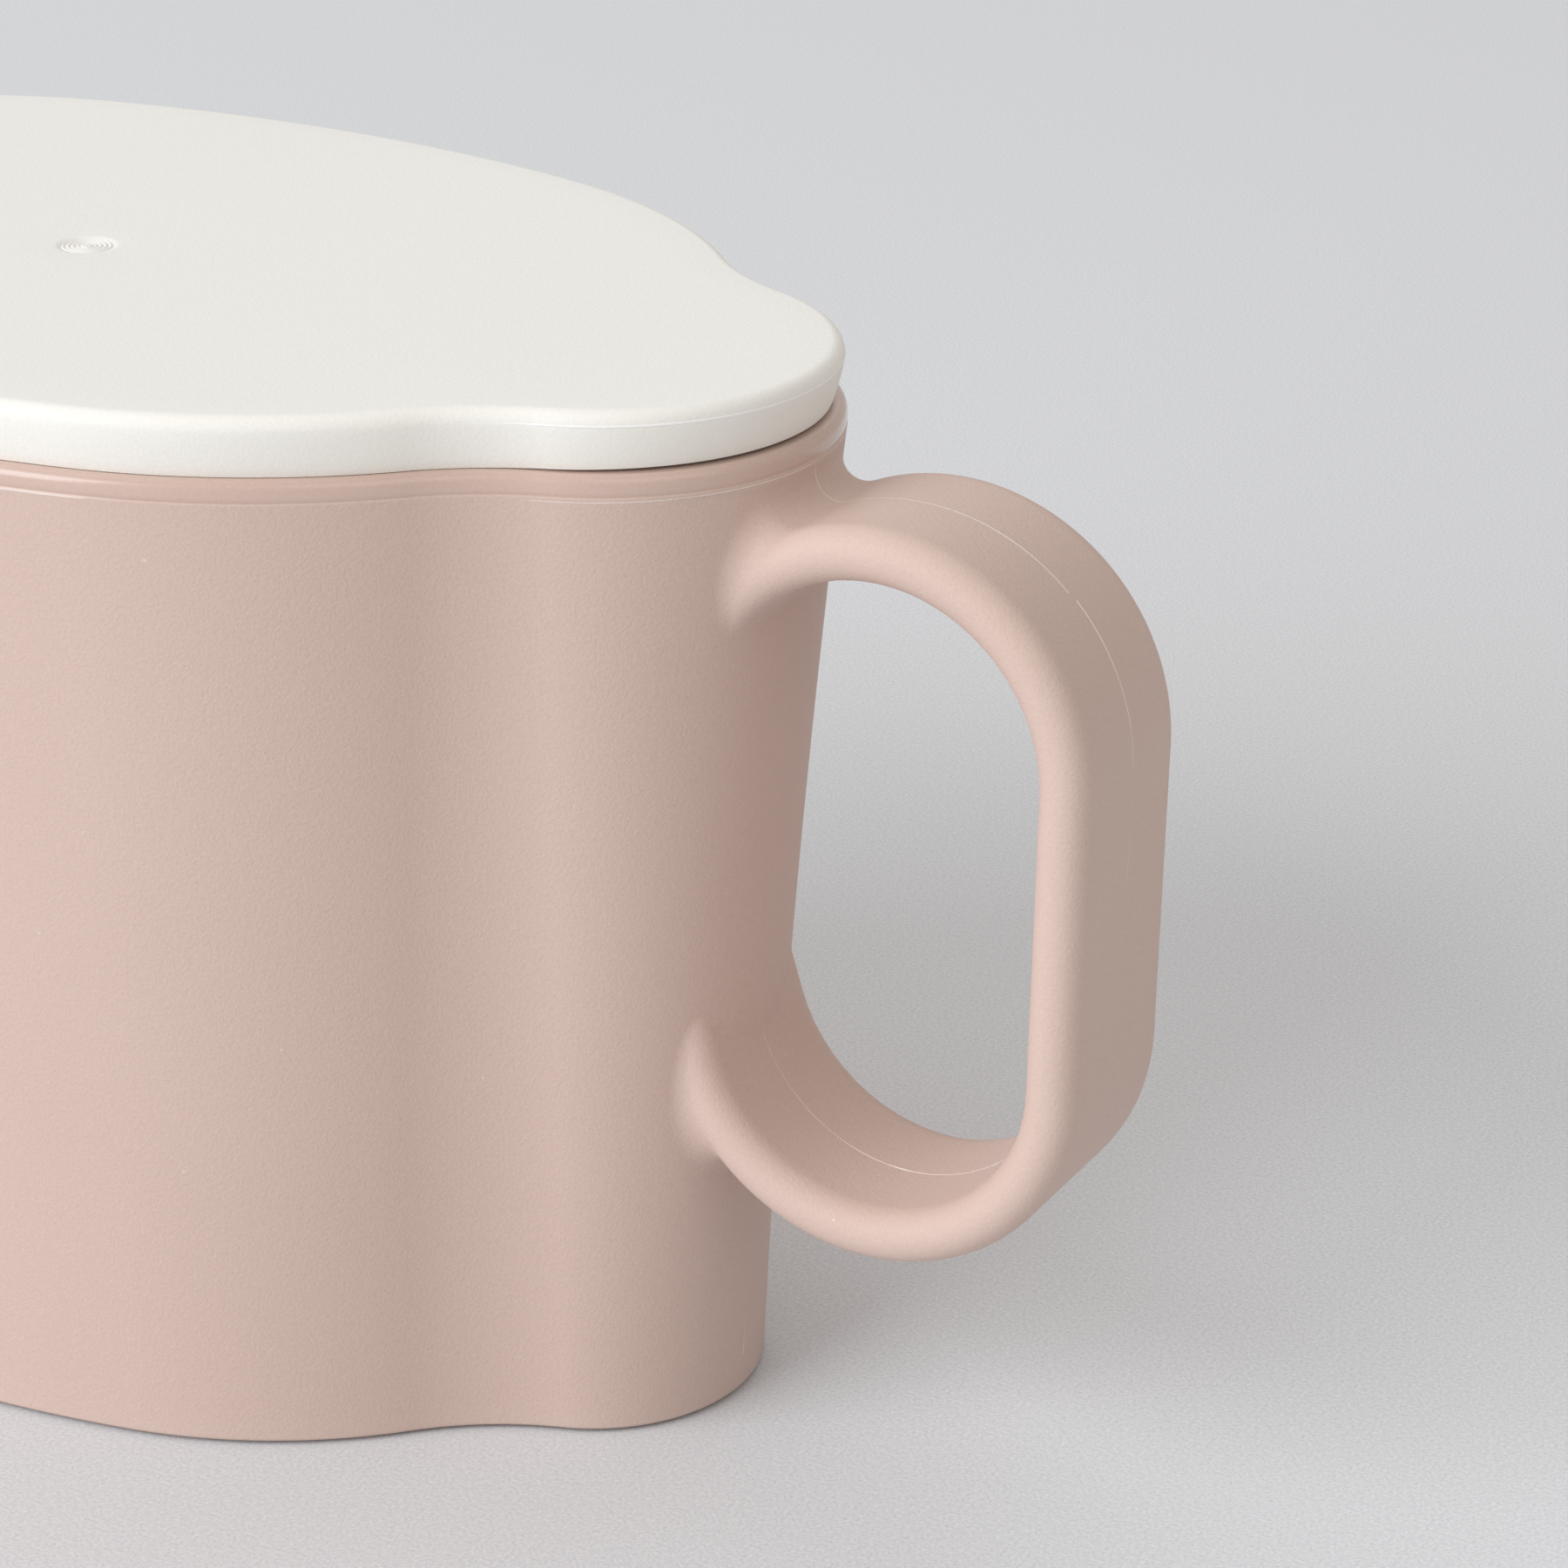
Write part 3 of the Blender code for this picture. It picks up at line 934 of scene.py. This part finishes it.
def stretches(*parts):
    """One run of (point, boldness) from parts given as (points, first boldness, last boldness)."""
    run = []
    for points, first, last in parts:
        steps = max(len(points) - 1, 1)
        for index, point in enumerate(points):
            run.append((point, first + (last - first) * index / steps))
    return run


def along_bend(bend, corner, first, last):
    count = BEND_STEPS // 2
    return [strap_point(bend, BEND_RADIUS * turn, corner) for turn in spread(first, last, count)]


def down_wall(first, last, steps):
    return [nub_point(0.0, z) for z in spread(first, last, steps)]


def rim_ridge():
    """The line round the wall below the rim, open at its jog."""
    jog = min(range(AROUND), key=lambda i: abs(OUTLINE[i].x - RIM_JOG_X) + (OUTLINE[i].y > 0))
    heights = []
    for index in range(AROUND):
        gone = ((index - jog) % AROUND) / AROUND
        heights.append(RIM_LINE - RIM_JOG * max(0.0, 1.0 - gone / RIM_JOG_RUN))
    level = sunk_level(heights, wall_offset, RIM_RIDGE)
    line = level[jog + 1:] + level[:jog]
    boldness = []
    for point in line:
        weak = 0.0
        if point.y < 0:
            weak = max(0.0, 1.0 - abs(point.x - RIM_WEAK_X) / RIM_WEAK_REACH)
        full = RIM_BOLD if point.x < RIM_JOG_X else RIM_BOLD_HANDLE
        boldness.append(full - RIM_WEAKER * min(1.0, RIM_WEAK_STEEP * weak))
    return line, boldness, False, RIM_RIDGE


def handle_ridges():
    """The lines in the handle's middle plane: over it, inside its loop, and down the far nub."""
    quarter = math.pi / 2
    outer, inner = Vector((STRAP / 2, 0.0)), Vector((-STRAP / 2, 0.0))
    outward, inward = Vector((1.0, 0.0)), Vector((-1.0, 0.0))
    upper_outer = root_line(UPPER_BEND, outer, outward)
    lower_outer = root_line(LOWER_BEND, outer, outward)
    upper_inner = root_line(UPPER_BEND, inner, inward)
    lower_inner = root_line(LOWER_BEND, inner, inward)
    grip_heights = spread(UPPER_BEND[0], LOWER_BEND[0], GRIP_STEPS)
    grip = [Vector((GRIP_X + STRAP / 2, 0.0, z)) for z in grip_heights]

    to_jog = stretches(
        (down_wall(RIM_LINE, upper_outer[0].z, 4), 0.75, 0.8),
        (upper_outer, 0.8, 0.85),
        (along_bend(UPPER_BEND, outer, quarter, HANDLE_JOG_TURN), 0.88, 0.9),
    )
    from_jog = stretches(
        (along_bend(UPPER_BEND, outer, HANDLE_JOG_TURN, 0.0), 1.0, 0.85),
        (grip, 0.7, 0.5),
        (along_bend(LOWER_BEND, outer, 0.0, quarter), 0.6, 0.8),
        (lower_outer[::-1], 0.8, 0.8),
        (down_wall(lower_outer[0].z, FOOT_EDGE, 8)[1:], 0.55, 0.85),
    )
    loop = stretches(
        (upper_inner, 0.7, 0.7),
        (along_bend(UPPER_BEND, inner, quarter, 0.0), 0.7, 0.6),
        ([point - Vector((STRAP, 0.0, 0.0)) for point in grip], 0.5, 0.5),
        (along_bend(LOWER_BEND, inner, 0.0, quarter), 0.55, 0.95),
        (lower_inner[::-1], 0.95, 0.7),
        (down_wall(lower_inner[0].z, upper_inner[0].z, 10)[1:], 0.45, 0.6),
    )
    near_nub = down_wall(RIM_LINE, FOOT_EDGE, 30)
    far_nub = [Vector((2 * CUP_X - point.x, point.y, point.z)) for point in near_nub]
    far_line = stretches((far_nub, 0.85, 0.8))

    lines = []
    for run, side, closed in (
        (to_jog, 1, False),
        (from_jog, 1, False),
        (loop, -1, True),
        (far_line, -1, False),
    ):
        points = sunk_upright([point for point, _ in run], side, closed, HANDLE_RIDGE)
        lines.append((points, [bold for _, bold in run], closed, HANDLE_RIDGE))
    jogged = lines[1][0]
    for index, point in enumerate(jogged):
        gone = index / len(jogged)
        point.y = HANDLE_JOG * max(0.0, 1.0 - gone / HANDLE_JOG_RUN)
    return lines


CUP_RIDGE = moulded_plastic(
    "cup_ridge_look",
    (0.82, 0.72, 0.66, 1.0),
    (0.80, 0.69, 0.63, 1.0),
    (0.80, 0.69, 0.63, 1.0),
    (0.88, 0.80, 0.75, 1.0),
    CUP_FINISH,
)
CUP_LINES = [rim_ridge()] + handle_ridges()
cup_ridges = ridge_piece("cup_parting_line", CUP_LINES, CUP_FADE_LENGTH, CUP_RIDGE)
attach(cup_ridges, "mug")

# Lid. A second moulding, in cream plastic: a flat plate with a rounded edge, a band that rests on
# the rim, and a skirt that drops inside the cup. The gate mark is near the middle of its top.

LID_ROUND = 0.00105
LID_BOTTOM = 0.08205
LID_PARTING = LID_BOTTOM + 0.00335
LID_TOP = LID_PARTING + LID_ROUND
BAND_TAPER = 0.0008
BAND_CURVE = 1.4
BAND_EDGE = 0.00005
BAND_BOTTOM = CUP_HEIGHT + 0.00003
# the band is a little warped: it stands off the rim towards the handle
BOW = 0.00025
BOW_START = 0.034
BOW_LENGTH = 0.014
LID_PLATE = 0.0022
SKIRT = 0.0018
SKIRT_BOTTOM = LID_BOTTOM - 0.0060
SKIRT_CLEARANCE = 0.0005
SKIRT_ROUND = 0.0004
PLATE_ROUND = 0.0012
GATE_PLACE = Vector((-0.0122, -0.0020))
LID_GATE = gate_steps(0.00235, 0.00011, 1, 40)
LID_RINGS = 14
ROUND_STEPS, BAND_STEPS = 12, 14
# the rounded edge and the band are painted half way to a warmer, paler cream, a painted glow
# that stands in for warm light bounced onto the lid's side, and the hidden side is smoother
LID_EDGE_PAINTED_GLOW = 0.5
UNDER_POLISH = 0.3

LID_FINISH = {
    "grain_scale": 3600.0,
    "flow_scale": 22.0,
    "speck_spacing": 0.008,
    "speck_radius": 0.00010,
    # on the lid this is the strength of the painted warm glow on its edge and band, not wear
    "scuff_and_glow": 0.8,
    "roughness": 0.60,
    "polished": 0.35,
    "polish_coat": 0.1,
    "specular": 0.05,
    "gloss_spread": 0.10,
    "bump": 0.8,
    "grain_depth": 0.00004,
    "grain_shade": 0.085,
}
# the last colour is the painted warm glow of the lid's edge and band, and the pale dust's colour
LID_PLASTIC = moulded_plastic(
    "lid_plastic_look",
    (0.875, 0.864, 0.83, 1.0),
    (0.855, 0.842, 0.805, 1.0),
    (0.84, 0.825, 0.77, 1.0),
    (0.918, 0.884, 0.812, 1.0),
    LID_FINISH,
)


def skirt_offset(z):
    return wall_offset(z) - WALL - SKIRT_CLEARANCE


def lid_section():
    """Rounded edge, band, seat, skirt and plate's underside as (from the outline, height, marks).

    The number of rows down to the skirt comes with them.
    """
    widest = -LINE_PROUD
    rounding = arc_points((widest - LID_ROUND, LID_PARTING), (LID_ROUND,) * 2, 90, 0, ROUND_STEPS)
    rows = []
    # the edge mark on the lid is a painted warm glow of bounced light, ramping up over the rounded
    # edge and held on the band
    for step, point in enumerate(rounding):
        rows.append((*point, 0.0, min(LID_EDGE_PAINTED_GLOW, step / ROUND_STEPS)))
    low = BAND_BOTTOM + BAND_EDGE
    for z in spread(LID_PARTING, low, BAND_STEPS)[1:]:
        down = (LID_PARTING - z) / (LID_PARTING - BAND_BOTTOM)
        rows.append((widest - BAND_TAPER * down**BAND_CURVE, z, 0.0, LID_EDGE_PAINTED_GLOW))
    edge = arc_points((widest - BAND_TAPER - BAND_EDGE, low), (BAND_EDGE,) * 2, 0, -90, 5)
    rows += [(*point, 0.0, LID_EDGE_PAINTED_GLOW) for point in edge]

    seat_end = skirt_offset(BAND_BOTTOM)
    under = [(out, BAND_BOTTOM) for out in spread(edge[-1][0], seat_end, 3)[1:]]
    band_rows = len(rows) + len(under) + 1
    skirt_low = SKIRT_BOTTOM + SKIRT_ROUND
    under += [(skirt_offset(z), z) for z in spread(BAND_BOTTOM, skirt_low, 6)]
    tip = skirt_offset(skirt_low)
    inner_face = tip - SKIRT
    under += arc_points((tip - SKIRT_ROUND, skirt_low), (SKIRT_ROUND,) * 2, 0, -90, 5)
    under += arc_points((inner_face + SKIRT_ROUND, skirt_low), (SKIRT_ROUND,) * 2, -90, -180, 5)
    corner_z = LID_TOP - LID_PLATE - PLATE_ROUND
    under += [(inner_face, z) for z in spread(skirt_low, corner_z, 5)[1:]]
    under += arc_points((inner_face - PLATE_ROUND, corner_z), (PLATE_ROUND,) * 2, 0, 90, 6)
    rows += [(*point, UNDER_POLISH, 0.0) for point in under]
    return rows, band_rows


LID_ROWS, BAND_ROWS = lid_section()


def bow_band(every):
    """Lifts the band's lower edge towards the handle, by nothing at its upper edge."""
    for row, (_, z, _, _) in enumerate(LID_ROWS[:BAND_ROWS]):
        low = min(1.0, max(0.0, (LID_PARTING - z) / (LID_PARTING - BAND_BOTTOM)))
        for vertex in every[row::len(LID_ROWS)]:
            share = min(1.0, max(0.0, (vertex.co.x - BOW_START) / BOW_LENGTH))
            vertex.co.z += BOW * low * share**2 * (3 - 2 * share)


def make_lid():
    """Top, edge, band, skirt and underside as one closed moulding."""
    builder = bmesh.new()
    mesh = sweep_rows(LID_ROWS, LID_PLASTIC)
    builder.from_mesh(mesh)
    bpy.data.meshes.remove(mesh)
    builder.verts.ensure_lookup_table()
    every = list(builder.verts)
    bow_band(every)
    height = len(LID_ROWS)
    top = every[0::height]
    under = every[height - 1::height]
    polish = builder.verts.layers.float["polish"]
    edge = builder.verts.layers.float["edge"]
    plain, smooth = {polish: 0.0, edge: 0.0}, {polish: UNDER_POLISH, edge: 0.0}
    fill_to_disc(builder, top, GATE_PLACE, LID_GATE, LID_RINGS, plain)
    fill_to_disc(builder, under, Vector((CUP_X, 0.0)), PLAIN_DISC, DISC_RINGS, smooth)
    return finish_piece(builder, "lid_moulding", LID_PLASTIC, SHARP)


lid = make_lid()
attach(lid, "lid")
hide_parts("lid")

# Parting line of the lid. The same kind of hair-thin ridge in cream plastic, left where the two
# halves of the lid's mould met: it runs round the side where the rounded edge ends, and stands out
# most towards the handle.

LID_RIDGE_SIZE = 0.00015
LID_FADE_LENGTH = 0.015
LID_BOLD, LID_BOLDER = 0.56, 0.44
BOLDER_START, BOLDER_LENGTH = 0.02, 0.025
# the ridge's pale colour is paler flash plastic, and in part a painted glow that stands in for
# light through the thin flash
LID_RIDGE = moulded_plastic(
    "lid_ridge_look",
    (0.96, 0.95, 0.93, 1.0),
    (0.93, 0.92, 0.89, 1.0),
    (0.93, 0.92, 0.89, 1.0),
    (0.96, 0.95, 0.93, 1.0),
    LID_FINISH,
)


def lid_ridge():
    """The line round the lid, bolder from its middle towards the handle."""
    level = sunk_level([LID_PARTING] * AROUND, lambda z: -LINE_PROUD, LID_RIDGE_SIZE)
    boldness = []
    for point in level:
        share = min(1.0, max(0.0, (point.x - BOLDER_START) / BOLDER_LENGTH))
        boldness.append(LID_BOLD + LID_BOLDER * share)
    return level, boldness, True, LID_RIDGE_SIZE


lid_ridges = ridge_piece("lid_parting_line", [lid_ridge()], LID_FADE_LENGTH, LID_RIDGE)
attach(lid_ridges, "lid")

# Floor, light and camera. A pale floor that fills the view, a large soft lamp from the front left,
# even light all round, and the photograph's own view of the handle end.

PAPER_SIZE = 6.0
PAPER_GRAIN = 3200.0
PAPER_DARK = (0.465, 0.477, 0.515, 1.0)
PAPER_PALE = (0.975, 0.985, 1.0, 1.0)


def make_floor():
    """A flat sheet of pale paper with a fine fleck."""
    mesh = bpy.data.meshes.new("floor")
    half = PAPER_SIZE / 2
    corners = [(-half, -half, 0.0), (half, -half, 0.0), (half, half, 0.0), (-half, half, 0.0)]
    mesh.from_pydata(corners, [], [(0, 1, 2, 3)])
    material = bpy.data.materials.new("floor_paper")
    material.use_nodes = True
    tree = material.node_tree
    where = node(tree, "ShaderNodeTexCoord").outputs["Object"]
    mottle = node(
        tree,
        "ShaderNodeTexNoise",
        {"Vector": where, "Scale": PAPER_GRAIN, "Detail": 3.0, "Roughness": 0.7},
    )
    tone = blend_colour(tree, mottle.outputs["Fac"], PAPER_DARK, PAPER_PALE)
    shader = tree.nodes["Principled BSDF"]
    tree.links.new(tone, shader.inputs["Base Color"])
    shader.inputs["Roughness"].default_value = 0.9
    shader.inputs["Specular IOR Level"].default_value = 0.1
    mesh.materials.append(material)
    item = bpy.data.objects.new("floor", mesh)
    bpy.context.scene.collection.objects.link(item)
    return item


make_floor()

MIDDLE = (CUP_X, 0.0, 0.04)


def soft_lamp(name, place, size, power, colour):
    """A rectangular lamp that faces the middle of the mug."""
    lamp = bpy.data.lights.new(name, "AREA")
    lamp.shape = "RECTANGLE"
    lamp.size, lamp.size_y = size
    lamp.energy = power
    lamp.color = colour
    item = bpy.data.objects.new(name, lamp)
    item.location = place
    item.rotation_euler = (Vector(MIDDLE) - Vector(place)).to_track_quat("-Z", "Y").to_euler()
    bpy.context.scene.collection.objects.link(item)


soft_lamp(
    "key_lamp",
    place=(-1.11, -2.02, 1.09),
    size=(2.0, 2.0),
    power=54.3,
    colour=(0.97, 1.0, 1.035),
)
soft_lamp(
    "ceiling_lamp",
    place=(-0.6, 0.7, 1.4),
    size=(2.0, 2.0),
    power=6.0,
    colour=(0.99, 1.0, 1.01),
)
soft_lamp(
    "bounce_card",
    place=(0.55, -0.25, 0.70),
    size=(0.7, 0.5),
    power=0.8,
    colour=(1.0, 0.95, 0.88),
)

world = bpy.data.worlds.new("studio")
world.use_nodes = True
sky = world.node_tree.nodes["Background"]
sky.inputs["Color"].default_value = (1.0, 0.97, 0.93, 1.0)
sky.inputs["Strength"].default_value = 0.485
bpy.context.scene.world = world

CAMERA_RIGHT = Vector((0.872792, 0.487750, 0.018253))
CAMERA_UP = Vector((-0.208734, 0.339187, 0.917269))
CAMERA_BACK = Vector((0.441207, -0.804395, 0.397850))
CAMERA_PLACE = Vector((0.19674, -0.26772, 0.18621))
camera = bpy.data.cameras.new("camera")
camera.sensor_width = 36.0
camera.lens = 101.34
camera.clip_start = 0.01
eye = bpy.data.objects.new("camera", camera)
turn = Matrix((CAMERA_RIGHT, CAMERA_UP, CAMERA_BACK)).transposed()
eye.matrix_world = Matrix.Translation(CAMERA_PLACE) @ turn.to_4x4()
bpy.context.scene.collection.objects.link(eye)
bpy.context.scene.camera = eye
bpy.context.scene.view_settings.view_transform = "Standard"
